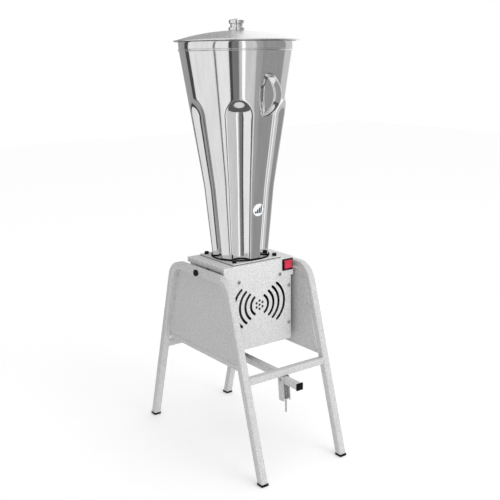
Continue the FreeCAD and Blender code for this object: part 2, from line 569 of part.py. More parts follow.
# ---------------------------------------------------------------- spindle and motor
hub = fuse(cylinder("z", "0", "0", "549", "hub_radius", "37"),
           ring("z", "0", "0", "pan_top - skin - 4", "38", "hub_radius - 1", "4"))
node("bearing_hub", cut(hub, cylinder("z", "0", "0", "540", "spindle + 1", "60"),
                        cylinder("z", "0", "0", "549", "14", "9"), cylinder("z", "0", "0", "578", "12", "8")))
node("hub_bearings", ring("z", "0", "0", "549", "14", "spindle + running_gap", "9"))
node("spindle_seal", ring("z", "0", "0", "579", "12", "spindle + 0.3", "6"))
node("spindle", fuse(cylinder("z", "0", "0", "537", "spindle", "52"), cylinder("z", "0", "0", "588", "5", "15.5")))
blade = cylinder("z", "0", "0", "589", "13", "4.5")
wings = []
for count in range(4):
    wing = doc.addObject("Part::Box", "Wing")
    turn = Rotation(Vector(0, 0, 1), 90 * count + 20)
    pitch = Rotation(Vector(0, 1, 0), (-14, 10)[count % 2])
    wing.Placement = Placement(turn.multVec(Vector(9, -6, 0)) + Vector(0, 0, 589.5), turn * pitch)
    drive(wing, {"Length": "46", "Width": "12", "Height": "2.2"})
    wings.append(wing)
spindle_hole = cylinder("z", "0", "0", "580", "5", "20")
node("blade", cut(fuse(blade, *wings), spindle_hole))
node("blade_nut", cut(fuse(hexagon("z", "0", "0", "593.5", "9", "6"), sphere("0", "0", "600", "7")),
                      cylinder("z", "0", "0", "592", "5", "12"),
                      box("-20", "-20", "580", "40", "40", "13.5")))
node("shaft_coupling", cut(cylinder("z", "0", "0", "522", "18", "24"),
                           cylinder("z", "0", "0", "536.5", "spindle", "20"),
                           cylinder("z", "0", "0", "510", "shaft", "30")))
node("motor_shaft", cylinder("z", "0", "0", "322", "shaft", "213"))
mount_plate = block("0", "0", "520", "222", "166", "6")
mount_holes = [cylinder("z", f"{58 * math.cos(math.radians(45 + 90 * k)):.3f}",
                        f"{58 * math.sin(math.radians(45 + 90 * k)):.3f}", "500", "3", "40") for k in range(4)]
node("motor_mount_plate", cut(mount_plate, cylinder("z", "0", "0", "515", "20", "20"), *mount_holes))
top_bell = cut(cylinder("z", "0", "0", "motor_top", "motor_radius", "520 - motor_top"),
               cylinder("z", "0", "0", "motor_top - 1", "48", "9"),
               cylinder("z", "0", "0", "motor_top - 1", "16", "13"),
               cylinder("z", "0", "0", "motor_top - 1", "shaft + 2", "20"), *mount_holes)
node("motor_top_bell", top_bell)
bottom_bell = cut(cylinder("z", "0", "0", "motor_bottom - 18", "motor_radius", "18"),
                  cylinder("z", "0", "0", "motor_bottom - 8", "48", "9"),
                  cylinder("z", "0", "0", "motor_bottom - 15", "16", "16"),
                  cylinder("z", "0", "0", "motor_bottom - 20", "shaft + 2", "30"))
node("motor_bottom_bell", bottom_bell)
node("motor_case", ring("z", "0", "0", "motor_bottom", "motor_radius", "motor_radius - motor_wall",
                        "motor_top - motor_bottom"))
node("motor_bearings", group(ring("z", "0", "0", "motor_top + 3", "16", "shaft + running_gap", "9"),
                             ring("z", "0", "0", "motor_bottom - 15", "16", "shaft + running_gap", "9")))
node("stator_core", ring("z", "0", "0", "385", "motor_radius - motor_wall", "core_radius + 0.8", "90"))
node("stator_windings", group(ring("z", "0", "0", "367", "60", "44", "18"),
                              ring("z", "0", "0", "475", "60", "44", "18")))
node("rotor_core", ring("z", "0", "0", "388", "core_radius", "shaft", "84"))
fan_hub = cut(fuse(cylinder("z", "0", "0", "324", "14", "12"), cylinder("z", "0", "0", "334", "56", "2")),
              cylinder("z", "0", "0", "320", "shaft", "30"))
paddles = []
for count in range(6):
    paddle = doc.addObject("Part::Box", "Paddle")
    turn = Rotation(Vector(0, 0, 1), 60 * count)
    paddle.Placement = Placement(turn.multVec(Vector(12, -1, 0)) + Vector(0, 0, 324), turn)
    drive(paddle, {"Length": "42", "Width": "2", "Height": "11"})
    paddles.append(paddle)
node("cooling_fan", fuse(fan_hub, *paddles))
mount_bolts = []
for k in range(4):
    x = f"{58 * math.cos(math.radians(45 + 90 * k)):.3f}"
    y = f"{58 * math.sin(math.radians(45 + 90 * k)):.3f}"
    mount_bolts.append(fuse(cylinder("z", x, y, "506", "3", "21"), hexagon("z", x, y, "526", "5.5", "4")))
node("motor_mount_bolts", group(*mount_bolts))
node("start_capacitor", cylinder("z", "-93", "40", "400", "16", "72"))
node("capacitor_clip", fuse(ring("z", "-93", "40", "430", "17.2", "16", "12"),
                            cut(box("-shell_side + skin", "36", "430", "8", "8", "12"),
                                cylinder("z", "-93", "40", "428", "16.5", "16"))))

doc.recompute()
for item in doc.Objects:
    if any(flag in item.State for flag in ("Invalid", "Error")):
        raise RuntimeError(f"{item.Name} ({item.Label}) did not compute: {item.State}")
os.makedirs("parts", exist_ok=True)
for item in NODES:
    shape = item.Shape
    if shape.isNull() or not shape.isValid() or not shape.Solids:
        raise RuntimeError(f"{item.Label} is not a sound solid")
    shape.exportStep(f"parts/{item.Label}.step")
    print(f"{item.Label}: {len(shape.Solids)} solid(s), {shape.Volume / 1000:.1f} cm3")
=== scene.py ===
import json
import math

import bmesh
import bpy
from mathutils import Matrix, Vector


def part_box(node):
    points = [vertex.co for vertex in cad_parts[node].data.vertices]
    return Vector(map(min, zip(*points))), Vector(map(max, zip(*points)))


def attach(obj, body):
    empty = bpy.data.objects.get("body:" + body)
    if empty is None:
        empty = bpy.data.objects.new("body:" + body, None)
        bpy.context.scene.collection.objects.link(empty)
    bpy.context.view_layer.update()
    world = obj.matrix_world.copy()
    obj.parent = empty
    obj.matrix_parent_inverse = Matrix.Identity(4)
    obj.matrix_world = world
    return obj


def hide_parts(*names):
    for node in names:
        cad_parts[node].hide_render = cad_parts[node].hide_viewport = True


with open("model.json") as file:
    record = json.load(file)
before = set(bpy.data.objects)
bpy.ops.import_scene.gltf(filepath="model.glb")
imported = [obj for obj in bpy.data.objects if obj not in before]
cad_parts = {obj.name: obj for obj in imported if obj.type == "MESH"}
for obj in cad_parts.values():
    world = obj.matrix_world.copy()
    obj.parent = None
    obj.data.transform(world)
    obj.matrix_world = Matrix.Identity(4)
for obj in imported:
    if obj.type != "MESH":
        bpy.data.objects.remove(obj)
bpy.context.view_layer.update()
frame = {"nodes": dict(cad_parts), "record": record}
MM = 0.001


# ------------------------------------------------------------------ materials
def shader(name, color, metallic=0.0, roughness=0.5, coat=0.0):
    """A principled material; returns it with its node tree and shader node."""
    mat = bpy.data.materials.new(name)
    mat.use_nodes = True
    tree = mat.node_tree
    bsdf = tree.nodes["Principled BSDF"]
    bsdf.inputs["Base Color"].default_value = (*color, 1.0)
    bsdf.inputs["Metallic"].default_value = metallic
    bsdf.inputs["Roughness"].default_value = roughness
    bsdf.inputs["Coat Weight"].default_value = coat
    return mat, tree, bsdf


def add(tree, kind, **values):
    node = tree.nodes.new(kind)
    for key, value in values.items():
        if key in node.inputs:
            node.inputs[key].default_value = value
        else:
            setattr(node, key, value)
    return node


def position(tree, scale=(1.0, 1.0, 1.0)):
    """Object coordinates in metres, stretched by scale."""
    coord = add(tree, "ShaderNodeTexCoord")
    mapping = add(tree, "ShaderNodeMapping")
    mapping.inputs["Scale"].default_value = scale
    tree.links.new(coord.outputs["Object"], mapping.inputs["Vector"])
    return mapping.outputs["Vector"]


def ramp(tree, source, low, high, start=0.0, end=1.0):
    """A two-colour ramp driven by a factor."""
    node = add(tree, "ShaderNodeValToRGB")
    node.color_ramp.elements[0].position = start
    node.color_ramp.elements[1].position = end
    node.color_ramp.elements[0].color = (*low, 1.0)
    node.color_ramp.elements[1].color = (*high, 1.0)
    tree.links.new(source, node.inputs["Fac"])
    return node.outputs["Color"]


def noise(tree, vector, scale, detail=3.0, roughness=0.55):
    node = add(tree, "ShaderNodeTexNoise", Scale=scale, Detail=detail, Roughness=roughness)
    tree.links.new(vector, node.inputs["Vector"])
    return node.outputs["Fac"]


def bump(tree, bsdf, height, strength, distance):
    node = add(tree, "ShaderNodeBump", Strength=strength, Distance=distance)
    tree.links.new(height, node.inputs["Height"])
    tree.links.new(node.outputs["Normal"], bsdf.inputs["Normal"])


def grey(value):
    return (value, value, value)


def hammered(name, low, high, cell):
    """Light grey hammered paint: small rounded dimples with darker veins between them."""
    mat, tree, bsdf = shader(name, grey(high), 0.0, 0.42, 0.15)
    where = position(tree)
    cells = add(tree, "ShaderNodeTexVoronoi", Scale=1.0 / cell, Randomness=1.0)
    cells.feature = "SMOOTH_F1"
    tree.links.new(where, cells.inputs["Vector"])
    speckle = noise(tree, where, 2.6 / cell, 3.0)
    mix = add(tree, "ShaderNodeMath", operation="ADD")
    tree.links.new(cells.outputs["Distance"], mix.inputs[0])
    tree.links.new(speckle, mix.inputs[1])
    tree.links.new(ramp(tree, mix.outputs[0], grey(high), grey(low), 0.55, 1.45), bsdf.inputs["Base Color"])
    tree.links.new(ramp(tree, speckle, grey(0.34), grey(0.55)), bsdf.inputs["Roughness"])
    bump(tree, bsdf, mix.outputs[0], 0.35, 0.0005)
    return mat


# Painted shade: the near-black grey that stands in for the dark inside the motor housing.
PAINTED_SHADE_GREY = 0.012  # dull black inside the motor housing


def inside_shade(name, low, high, cell, centre, reach):
    """Hammered paint on the outside of a sheet box; its cut edges and its inside are painted near black,
    painted shade that stands in for the dark inside the box.
    """
    mat = hammered(name, low, high, cell)
    tree = mat.node_tree
    bsdf = tree.nodes["Principled BSDF"]
    where = add(tree, "ShaderNodeTexCoord")
    away = add(tree, "ShaderNodeVectorMath", operation="SUBTRACT")
    away.inputs[1].default_value = centre
    facing = add(tree, "ShaderNodeVectorMath", operation="DOT_PRODUCT")
    outside = add(tree, "ShaderNodeMath", operation="GREATER_THAN")
    outside.inputs[1].default_value = reach
    mix = add(tree, "ShaderNodeMix", data_type="RGBA")
    # painted shade: faces turned inwards or edge-on take the near-black grey
    mix.inputs["A"].default_value = (*grey(PAINTED_SHADE_GREY), 1)
    paint = bsdf.inputs["Base Color"].links[0].from_socket
    tree.links.new(where.outputs["Object"], away.inputs[0])
    tree.links.new(away.outputs["Vector"], facing.inputs[0])
    tree.links.new(where.outputs["Normal"], facing.inputs[1])
    tree.links.new(facing.outputs["Value"], outside.inputs[0])
    tree.links.new(outside.outputs[0], mix.inputs["Factor"])
    tree.links.new(paint, mix.inputs["B"])
    tree.links.new(mix.outputs["Result"], bsdf.inputs["Base Color"])
    return mat


def steel(name, shade, roughness, grain, across, along):
    """Bare steel with a directional grain; the grain is short across and long along."""
    mat, tree, bsdf = shader(name, grey(shade), 1.0, roughness)
    where = position(tree, (across, across, along))
    lines = noise(tree, where, 1.0, 4.0, 0.6)
    tree.links.new(ramp(tree, lines, grey(shade * 0.93), grey(min(1.0, shade * 1.05)), 0.3, 0.7),
                   bsdf.inputs["Base Color"])
    low, high = roughness * (1 - grain), roughness * (1 + grain)
    tree.links.new(ramp(tree, lines, grey(low), grey(high), 0.3, 0.7), bsdf.inputs["Roughness"])
    bump(tree, bsdf, lines, 0.04, 0.0002)
    return mat


def moulded(name, color, roughness, cell=0.0012, depth=0.0001):
    """Plastic or rubber with a fine moulded texture."""
    mat, tree, bsdf = shader(name, color, 0.0, roughness)
    where = position(tree)
    grain = noise(tree, where, 1.0 / cell, 4.0, 0.6)
    low = tuple(c * 0.8 for c in color)
    high = tuple(min(1.0, c * 1.25) for c in color)
    tree.links.new(ramp(tree, grain, low, high, 0.3, 0.7), bsdf.inputs["Base Color"])
    tree.links.new(ramp(tree, grain, grey(roughness * 0.85), grey(min(1.0, roughness * 1.2)), 0.3, 0.7),
                   bsdf.inputs["Roughness"])
    bump(tree, bsdf, grain, 0.2, depth)
    return mat


MATERIALS = {
    # frame_paint is a darker copy of housing_paint: painted shade on the stand's tubes, welds and side panels.
    "frame_paint": hammered("frame_paint", 0.52, 0.72, 0.0035),
    "housing_paint": hammered("housing_paint", 0.60, 0.86, 0.0032),
    "black_plastic": moulded("black_plastic", grey(0.006), 0.5),
    "black_rubber": moulded("black_rubber", grey(0.008), 0.8, 0.0008, 0.0002),
    "zinc": steel("zinc", 0.55, 0.34, 0.3, 300, 300),
    "black_bolt": moulded("black_bolt", grey(0.006), 0.42, 0.001, 0.00005),
    "cup_steel": steel("cup_steel", 0.78, 0.085, 0.25, 60, 4),
    "lid_steel": steel("lid_steel", 0.74, 0.30, 0.2, 220, 220),
    "knob_chrome": steel("knob_chrome", 0.80, 0.10, 0.2, 90, 400),
    "red_plastic": moulded("red_plastic", (0.60, 0.03, 0.07), 0.16, 0.002, 0.00003),
    "label_white": moulded("label_white", grey(0.80), 0.3, 0.002, 0.00002),
    "bare_steel": steel("bare_steel", 0.55, 0.28, 0.3, 120, 600),
    "motor_paint": moulded("motor_paint", (0.06, 0.065, 0.075), 0.4, 0.003, 0.0001),
    "bell_alloy": moulded("bell_alloy", grey(0.45), 0.45, 0.002, 0.0002),
    "copper_wire": steel("copper_wire", 0.5, 0.4, 0.2, 300, 900),
    "core_iron": steel("core_iron", 0.22, 0.5, 0.2, 50, 1500),
    "capacitor_shell": moulded("capacitor_shell", (0.50, 0.50, 0.46), 0.4, 0.003, 0.00003),
}
for dark in ("black_plastic", "black_bolt", "black_rubber"):
    MATERIALS[dark].node_tree.nodes["Principled BSDF"].inputs["Specular IOR Level"].default_value = 0.12
MATERIALS["bell_alloy"].node_tree.nodes["Principled BSDF"].inputs["Metallic"].default_value = 0.9
# Housing paint with painted shade: near black on the inside and on the vents' cut edges.
HOUSING_INSIDE_SHADE = inside_shade("housing_paint_inside_shade", 0.60, 0.86, 0.0032, (0, 0, 0.43), 0.082)
INK = moulded("label_ink", (0.02, 0.05, 0.10), 0.35, 0.002, 0.00002)

SLOT_OF = {part["node"]: part["material_slot"] for part in frame["record"]["subparts"]}


# ------------------------------------------------------------------ mesh helpers
def mesh_object(name, verts, faces, sharp=40.0):
    mesh = bpy.data.meshes.new(name)
    mesh.from_pydata([tuple(v) for v in verts], [], faces)
    mesh.validate()
    bm = bmesh.new()
    bm.from_mesh(mesh)
    bmesh.ops.remove_doubles(bm, verts=bm.verts, dist=1e-7)
    bmesh.ops.recalc_face_normals(bm, faces=bm.faces)
    bm.to_mesh(mesh)
    bm.free()
    mesh.shade_smooth()
    mesh.set_sharp_from_angle(angle=math.radians(sharp))
    obj = bpy.data.objects.new(name, mesh)
    bpy.context.scene.collection.objects.link(obj)
    return obj


def dress(obj, body, slot, *nodes, material=None):
    """Give a piece its material, its body and the CAD nodes that it stands for."""
    obj.data.materials.clear()
    obj.data.materials.append(material or MATERIALS[slot])
    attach(obj, body)
    if nodes:
        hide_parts(*nodes)
    return obj


def lathe(name, profile, segments=144, sharp=35.0):
    """Closed solid of revolution about Z from (radius, height) points in millimetres, axis to axis."""
    verts, faces, rings = [], [], []
    for radius, height in profile:
        if radius < 1e-6:
            rings.append([len(verts)])
            verts.append((0, 0, height * MM))
            continue
        start = len(verts)
        for k in range(segments):
            angle = 2 * math.pi * k / segments
            verts.append((radius * MM * math.cos(angle), radius * MM * math.sin(angle), height * MM))
        rings.append(list(range(start, start + segments)))
    closed = profile[0] == profile[-1]
    if closed:
        rings[-1] = rings[0]
    for a, b in zip(rings, rings[1:]):
        for k in range(segments):
            n = (k + 1) % segments
            if len(a) == 1:
                faces.append((a[0], b[k], b[n]))
            elif len(b) == 1:
                faces.append((a[k], a[n], b[0]))
            else:
                faces.append((a[k], a[n], b[n], b[k]))
    return mesh_object(name, verts, faces, sharp)


def arc(centre, radius, start, end, steps=8):
    """Points on an arc in a (radius, height) profile, angles in degrees."""
    points = []
    for k in range(steps + 1):
        angle = math.radians(start + (end - start) * k / steps)
        points.append((centre[0] + radius * math.cos(angle), centre[1] + radius * math.sin(angle)))
    return points


def slab(name, low, high, radius, segments=3):
    """Box in metres with rounded edges."""
    bm = bmesh.new()
    bmesh.ops.create_cube(bm, size=1.0)
    low, high = Vector(low), Vector(high)
    for vert in bm.verts:
        vert.co = Vector(low[i] + (vert.co[i] + 0.5) * (high[i] - low[i]) for i in range(3))
    bmesh.ops.bevel(bm, geom=bm.edges[:], offset=radius * MM, segments=segments, profile=0.5, affect="EDGES")
    mesh = bpy.data.meshes.new(name)
    bm.to_mesh(mesh)
    bm.free()
    mesh.shade_smooth()
    mesh.set_sharp_from_angle(angle=math.radians(50))
    obj = bpy.data.objects.new(name, mesh)
    bpy.context.scene.collection.objects.link(obj)
    return obj


def rounded_square(side, radius, steps=5):
    """Outline of a square tube's section, as (across, up) in millimetres."""
    half, points = side / 2 - radius, []
    for quarter, (sx, sy) in enumerate(((1, 1), (-1, 1), (-1, -1), (1, -1))):
        for k in range(steps + 1):
            angle = math.radians(90 * quarter + 90 * k / steps)
            points.append((sx * half + radius * math.cos(angle), sy * half + radius * math.sin(angle)))
    return points


def loft(name, rings, sharp=40.0, hollow=None):
    """Tube through rings of points in millimetres; hollow gives matching inner rings."""
    verts, faces, count = [], [], len(rings[0])
    layers = [rings] + ([hollow] if hollow else [])
    starts = []
    for layer in layers:
        starts.append(len(verts))
        verts += [Vector(p) * MM for ring in layer for p in ring]
    for start in starts:
        for i in range(len(rings) - 1):
            for k in range(count):
                n = (k + 1) % count
                a, b = start + i * count, start + (i + 1) * count
                faces.append((a + k, a + n, b + n, b + k))
    for i in (0, len(rings) - 1):
        if hollow:
            a, b = starts[0] + i * count, starts[1] + i * count
            faces += [(a + k, a + (k + 1) % count, b + (k + 1) % count, b + k) for k in range(count)]
        else:
            faces.append(tuple(range(i * count, (i + 1) * count)))
    return mesh_object(name, verts, faces, sharp)


# ------------------------------------------------------------------ camera, lights and floor
AZIMUTH, PITCH, ROLL = math.radians(36.01), math.radians(-13.373), math.radians(-0.72)
EYE = Vector((-1.3502, -1.9071, 1.1441))
LENS, SENSOR = 58.24, 36
forward = Vector((math.cos(PITCH) * math.sin(AZIMUTH), math.cos(PITCH) * math.cos(AZIMUTH), math.sin(PITCH)))
level = Vector((math.cos(AZIMUTH), -math.sin(AZIMUTH), 0))
upright = level.cross(forward)
right = level * math.cos(ROLL) + upright * math.sin(ROLL)
up = upright * math.cos(ROLL) - level * math.sin(ROLL)


def toward(turn):
    """Level direction at a bearing in degrees, measured round from the camera, positive to its right."""
    return Matrix.Rotation(math.radians(turn), 3, "Z") @ Vector((-math.sin(AZIMUTH), -math.cos(AZIMUTH), 0))


camera_data = bpy.data.cameras.new("camera")
camera_data.lens = LENS
camera_data.sensor_width = SENSOR
camera = bpy.data.objects.new("camera", camera_data)
bpy.context.scene.collection.objects.link(camera)
camera.matrix_world = Matrix((
    (right.x, up.x, -forward.x, EYE.x),
    (right.y, up.y, -forward.y, EYE.y),
    (right.z, up.z, -forward.z, EYE.z),
    (0, 0, 0, 1)))
bpy.context.scene.camera = camera
bpy.context.scene.view_settings.view_transform = "Standard"

world = bpy.data.worlds.new("studio")
bpy.context.scene.world = world
world.use_nodes = True
# Soft light is weaker from the camera's left, so faces turned that way read a shade deeper.  Only diffuse rays
# see the difference: the room itself looks white from everywhere and in every reflection.
DIM_BEARING, DIM_START, DIM_END, DIM_GLOW = -88, 0.30, 0.90, 0.15
sky = world.node_tree
look = add(sky, "ShaderNodeTexCoord")
side = add(sky, "ShaderNodeVectorMath", operation="DOT_PRODUCT")
side.inputs[1].default_value = toward(DIM_BEARING)
fade = add(sky, "ShaderNodeMapRange", interpolation_type="SMOOTHSTEP")
for socket, value in (("From Min", DIM_START), ("From Max", DIM_END), ("To Min", 1.0), ("To Max", DIM_GLOW)):
    fade.inputs[socket].default_value = value
sky.links.new(look.outputs["Generated"], side.inputs[0])
sky.links.new(side.outputs["Value"], fade.inputs["Value"])
sky.nodes["Background"].inputs["Color"].default_value = (1, 1, 1, 1)
ray = add(sky, "ShaderNodeLightPath")
other = add(sky, "ShaderNodeMath", operation="SUBTRACT")
other.inputs[0].default_value = 1.0
brightest = add(sky, "ShaderNodeMath", operation="MAXIMUM")
sky.links.new(ray.outputs["Is Diffuse Ray"], other.inputs[1])
sky.links.new(other.outputs[0], brightest.inputs[0])
sky.links.new(fade.outputs["Result"], brightest.inputs[1])
sky.links.new(brightest.outputs[0], sky.nodes["Background"].inputs["Strength"])


def panel_light(name, turn, distance, height, width, tall, power):
    """Soft box aimed at the object's middle; turn is its bearing in degrees."""
    data = bpy.data.lights.new(name, "AREA")
    data.shape = "RECTANGLE"
    data.size, data.size_y, data.energy = width, tall, power
    lamp = bpy.data.objects.new(name, data)
    lamp.location = toward(turn) * distance + Vector((0, 0, height))
    aim = Vector((0, 0, 0.75)) - lamp.location
    lamp.rotation_euler = aim.to_track_quat("-Z", "Y").to_euler()
    lamp.visible_glossy = False
    bpy.context.scene.collection.objects.link(lamp)
    return lamp


def glow_only(obj, name, glow):
    """Make a stage mesh an even glow that only reflections see."""
    mat, _, bsdf = shader(name, grey(0.0), 0.0, 1.0)
    bsdf.inputs["Specular IOR Level"].default_value = 0.0
    bsdf.inputs["Emission Color"].default_value = (1, 1, 1, 1)
    bsdf.inputs["Emission Strength"].default_value = glow
    obj.data.materials.append(mat)
    obj.visible_camera = False
    obj.visible_diffuse = False
    obj.visible_transmission = False
    obj.visible_shadow = False
    return obj


def card(name, start, end, glow, low=-0.01, high=2.6, distance=1.3):
    """Upright curved card that only shows as a reflection in the steel; start and end are bearings."""
    verts, faces, steps = [], [], 24
    for k in range(steps + 1):
        foot = toward(start + (end - start) * k / steps) * distance
        verts += [foot + Vector((0, 0, low)), foot + Vector((0, 0, high))]
    for k in range(steps):
        faces.append((2 * k, 2 * k + 2, 2 * k + 3, 2 * k + 1))
    return glow_only(mesh_object(name, verts, faces), name, glow)


panel_light("key", 48, 3.4, 2.0, 2.2, 2.6, 34)
panel_light("fill", -58, 3.6, 1.8, 1.8, 2.2, 4)
CARDS = (("rear_left", -180, -117, 0.38), ("edge_left", -117, -104, 0.07), ("box_left", -104, -44, 0.92),
         ("gap_left", -44, -40, 0.20), ("box_front", -40, -15, 0.98), ("lens", -15, -9, 0.06),
         ("crew", -9, 4, 0.22), ("slot", 4, 10, 0.62), ("strip", 10, 16, 1.35), ("wall", 16, 37, 0.72),
         ("wall_end", 37, 50, 0.42), ("drape", 50, 104, 0.35), ("door", 104, 130, 0.68),
         ("rear_right", 130, 180, 1.20))
for card_name, card_start, card_end, card_glow in CARDS:
    card(f"card_{card_name}", card_start, card_end, card_glow)


def ground_card(name, inner, outer, glow):
    """Flat ring that only shows as a reflection in the steel."""
    count, lift = 72, 0.001
    verts = [(r * math.cos(k * math.pi * 2 / count), r * math.sin(k * math.pi * 2 / count), lift)
             for r in (inner, outer) for k in range(count)]
    faces = [(k, (k + 1) % count, count + (k + 1) % count, count + k) for k in range(count)]
    obj = mesh_object(name, verts, faces)
    return glow_only(obj, name, glow)


ground_card("card_ground_near", 0.02, 0.70, 0.80)
ground_card("card_ground_far", 0.70, 1.29, 0.12)

REACH, FLOOR_GLOW = 9, 0.09  # half the floor's side in metres; its glow keeps it near white
floor = mesh_object("floor", [(-REACH, -REACH, 0), (REACH, -REACH, 0), (REACH, REACH, 0), (-REACH, REACH, 0)],
                    [(0, 1, 2, 3)])
floor_mat, _, floor_bsdf = shader("floor", grey(0.99), 0.0, 0.9)
floor_bsdf.inputs["Specular IOR Level"].default_value = 0.0
floor_bsdf.inputs["Emission Color"].default_value = (1, 1, 1, 1)
floor_bsdf.inputs["Emission Strength"].default_value = FLOOR_GLOW
floor.data.materials.append(floor_mat)

# ------------------------------------------------------------------ stand
TUBE, FRAME_TOP, BEND, SPREAD, LEAN = 22.0, 556.0, 66.0, 306.0, math.radians(15.9)
MIDDLE, TUBE_SHEET, FOOT_CUT = 144.0, 1.5, 7.0  # side frame's x, tube wall, height where its feet are cut level


def frame_path(steps=18):
    """Centreline of a side frame in (y, z), front foot to rear foot, with the section's normal."""
    radius = BEND - TUBE / 2
    centre_y = SPREAD - (FRAME_TOP - BEND) * math.tan(LEAN) - BEND / math.cos(LEAN)
    centre_z = FRAME_TOP - BEND
    side = []
    foot_y = SPREAD - TUBE / 2 / math.cos(LEAN) - FOOT_CUT * math.tan(LEAN)
    side.append((foot_y, FOOT_CUT, LEAN))
    for k in range(steps + 1):
        angle = LEAN + (math.pi / 2 - LEAN) * k / steps
        side.append((centre_y + radius * math.cos(angle), centre_z + radius * math.sin(angle), angle))
    front = [(-y, z, math.pi - angle) for y, z, angle in side]
    return front + list(reversed(side))


def side_frame(name, sign, node):
    """Bent tube on one side of the stand, hollow, with both feet cut level with the floor."""
    section, inner = rounded_square(TUBE, 3.0), rounded_square(TUBE - 2 * TUBE_SHEET, 1.6)
    path = frame_path()
    rings, bores = [], []
    for i, (y, z, angle) in enumerate(path):
        outward = Vector((0, math.cos(angle), math.sin(angle)))
        ring, bore = [], []
        for outline, points in ((section, ring), (inner, bore)):
            for across, up_by in outline:
                point = Vector((sign * MIDDLE + across, y, z)) + outward * up_by
                if i in (0, len(path) - 1):
                    slope = math.tan(LEAN) * (1 if y > 0 else -1)
                    point.y -= (FOOT_CUT - point.z) * slope
                    point.z = FOOT_CUT
                points.append(point)
        rings.append(ring)
        bores.append(bore)
    return dress(loft(name, rings, 60.0, bores), "stand", "frame_paint", node)


side_frame("frame_left", -1, "left_side_frame")
side_frame("frame_right", 1, "right_side_frame")


def straight_tube(name, node, axis, body="stand", slot="frame_paint", radius=2.4):
    """Square tube with rounded corners that fills a CAD node's box along x or y."""
    low, high = (Vector(c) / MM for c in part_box(node))
    a, b = (1, 2) if axis == 0 else (0, 2)
    side_a, side_b = high[a] - low[a], high[b] - low[b]
    rings, bores = [], []
    for end in (low[axis], high[axis]):
        for inset, store in ((0.0, rings), (TUBE_SHEET, bores)):
            ring = []
            for across, up_by in rounded_square(side_a - 2 * inset, max(0.8, radius - inset)):
                point = Vector((0, 0, 0))
                point[axis] = end
                point[a] = (low[a] + high[a]) / 2 + across
                point[b] = (low[b] + high[b]) / 2 + up_by * (side_b - 2 * inset) / (side_a - 2 * inset)
                ring.append(point)
            store.append(ring)
    return dress(loft(name, rings, 60.0, bores), body, slot, node)


straight_tube("crossbar_front", "front_crossbar", 0)
straight_tube("crossbar_rear", "rear_crossbar", 0)
straight_tube("bar_centre", "centre_bar", 1)
straight_tube("pedal_tube", "pedal_arm", 1, "pedal")


def weld_run(name, points, radius, body, slot="frame_paint"):
    """Rippled fillet weld along a closed or open run of points in millimetres."""
    rings, count = [], 8
    for i, point in enumerate(points):
        ahead = Vector(points[min(i + 1, len(points) - 1)]) - Vector(points[max(i - 1, 0)])
        ahead.normalize()
        side = ahead.cross(Vector((0.31, 0.47, 0.83))).normalized()
        other = ahead.cross(side)
        size = radius * (1 + 0.16 * math.cos(i * math.pi))
        if i in (0, len(points) - 1):
            size *= 0.4
        rings.append([Vector(point) + side * size * math.cos(2 * math.pi * k / count)
                      + other * size * math.sin(2 * math.pi * k / count) for k in range(count)])
    return dress(loft(name, rings, 60.0), body, slot)


def seam(start, end, pitch=2.2):
    start, end = Vector(start), Vector(end)
    steps = max(3, int((end - start).length / pitch))
    return [start.lerp(end, k / steps) for k in range(steps + 1)]


WELD_X, BEAD = 133, 1.5
for label, node in (("front", "front_crossbar"), ("rear", "rear_crossbar")):
    low, high = (Vector(c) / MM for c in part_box(node))
    for sign, name in ((-1, "left"), (1, "right")):
        x = sign * WELD_X
        for tag, start, end in (("top", (x, low.y + 1, high.z - 0.6), (x, high.y - 1, high.z - 0.6)),
                                ("under", (x, low.y + 1, low.z + 0.6), (x, high.y - 1, low.z + 0.6)),
                                ("face", (x, low.y + 0.6, low.z + 1), (x, low.y + 0.6, high.z - 1)),
                                ("back", (x, high.y - 0.6, low.z + 1), (x, high.y - 0.6, high.z - 1))):
            weld_run(f"weld_{label}_{name}_{tag}", seam(start, end), BEAD, "stand")
low, high = (Vector(c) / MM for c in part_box("centre_bar"))
for tag, y in (("front", low.y), ("rear", high.y)):
    start, end = (low.x + 1, y, high.z - 0.8), (high.x - 1, y, high.z - 0.8)
    weld_run(f"weld_centre_{tag}", seam(start, end), BEAD, "stand")

low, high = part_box("pedal_end_plug")
dress(slab("pedal_plug", (low[0], low[1], low[2]), (high[0], low[1] + 0.003, high[2]), 1.0), "pedal",
      "black_plastic", "pedal_end_plug")

# ------------------------------------------------------------------ cup
FLOOR_Z, WAIST, MOUTH_RISE, TOP_RISE = 575.0, 210.0, 588.0, 613.5
CUP_SHEET, HUB_HOLE = 1.2, 22
FLUTES = [math.radians(angle) for angle in range(0, 360, 60)]
CUP_TURN, FRONT_TURN = math.radians(-4.0), math.radians(-1.5)


def wall_radius(rise):
    if rise < WAIST:
        return 82.0 + 20.5 * rise / WAIST
    if rise < MOUTH_RISE:
        return 102.5 + 60.3 * (rise - WAIST) / (MOUTH_RISE - WAIST)
    return 162.8


# a flute is pressed by a round tool: distance of its axis from the cup's axis, and its radius
FLUTE_FOOT, FLUTE_WAIST, FLUTE_TOP, FLUTE_TOP_RISE = (117, 44), (142, 50), (187, 66), 405
ROLL_OVER = 10.0


def flute_centre(rise):
    """Reach and radius of the flute tool at a height above the cup's floor."""
    if rise >= FLUTE_TOP_RISE:
        above = rise - FLUTE_TOP_RISE
        return FLUTE_TOP[0], math.sqrt(max(0.0, FLUTE_TOP[1] ** 2 - above ** 2))
    low_end, high_end, part = FLUTE_FOOT, FLUTE_WAIST, rise / WAIST
    if rise >= WAIST:
        low_end, high_end, part = FLUTE_WAIST, FLUTE_TOP, (rise - WAIST) / (FLUTE_TOP_RISE - WAIST)
    return tuple(a + (b - a) * part for a, b in zip(low_end, high_end))


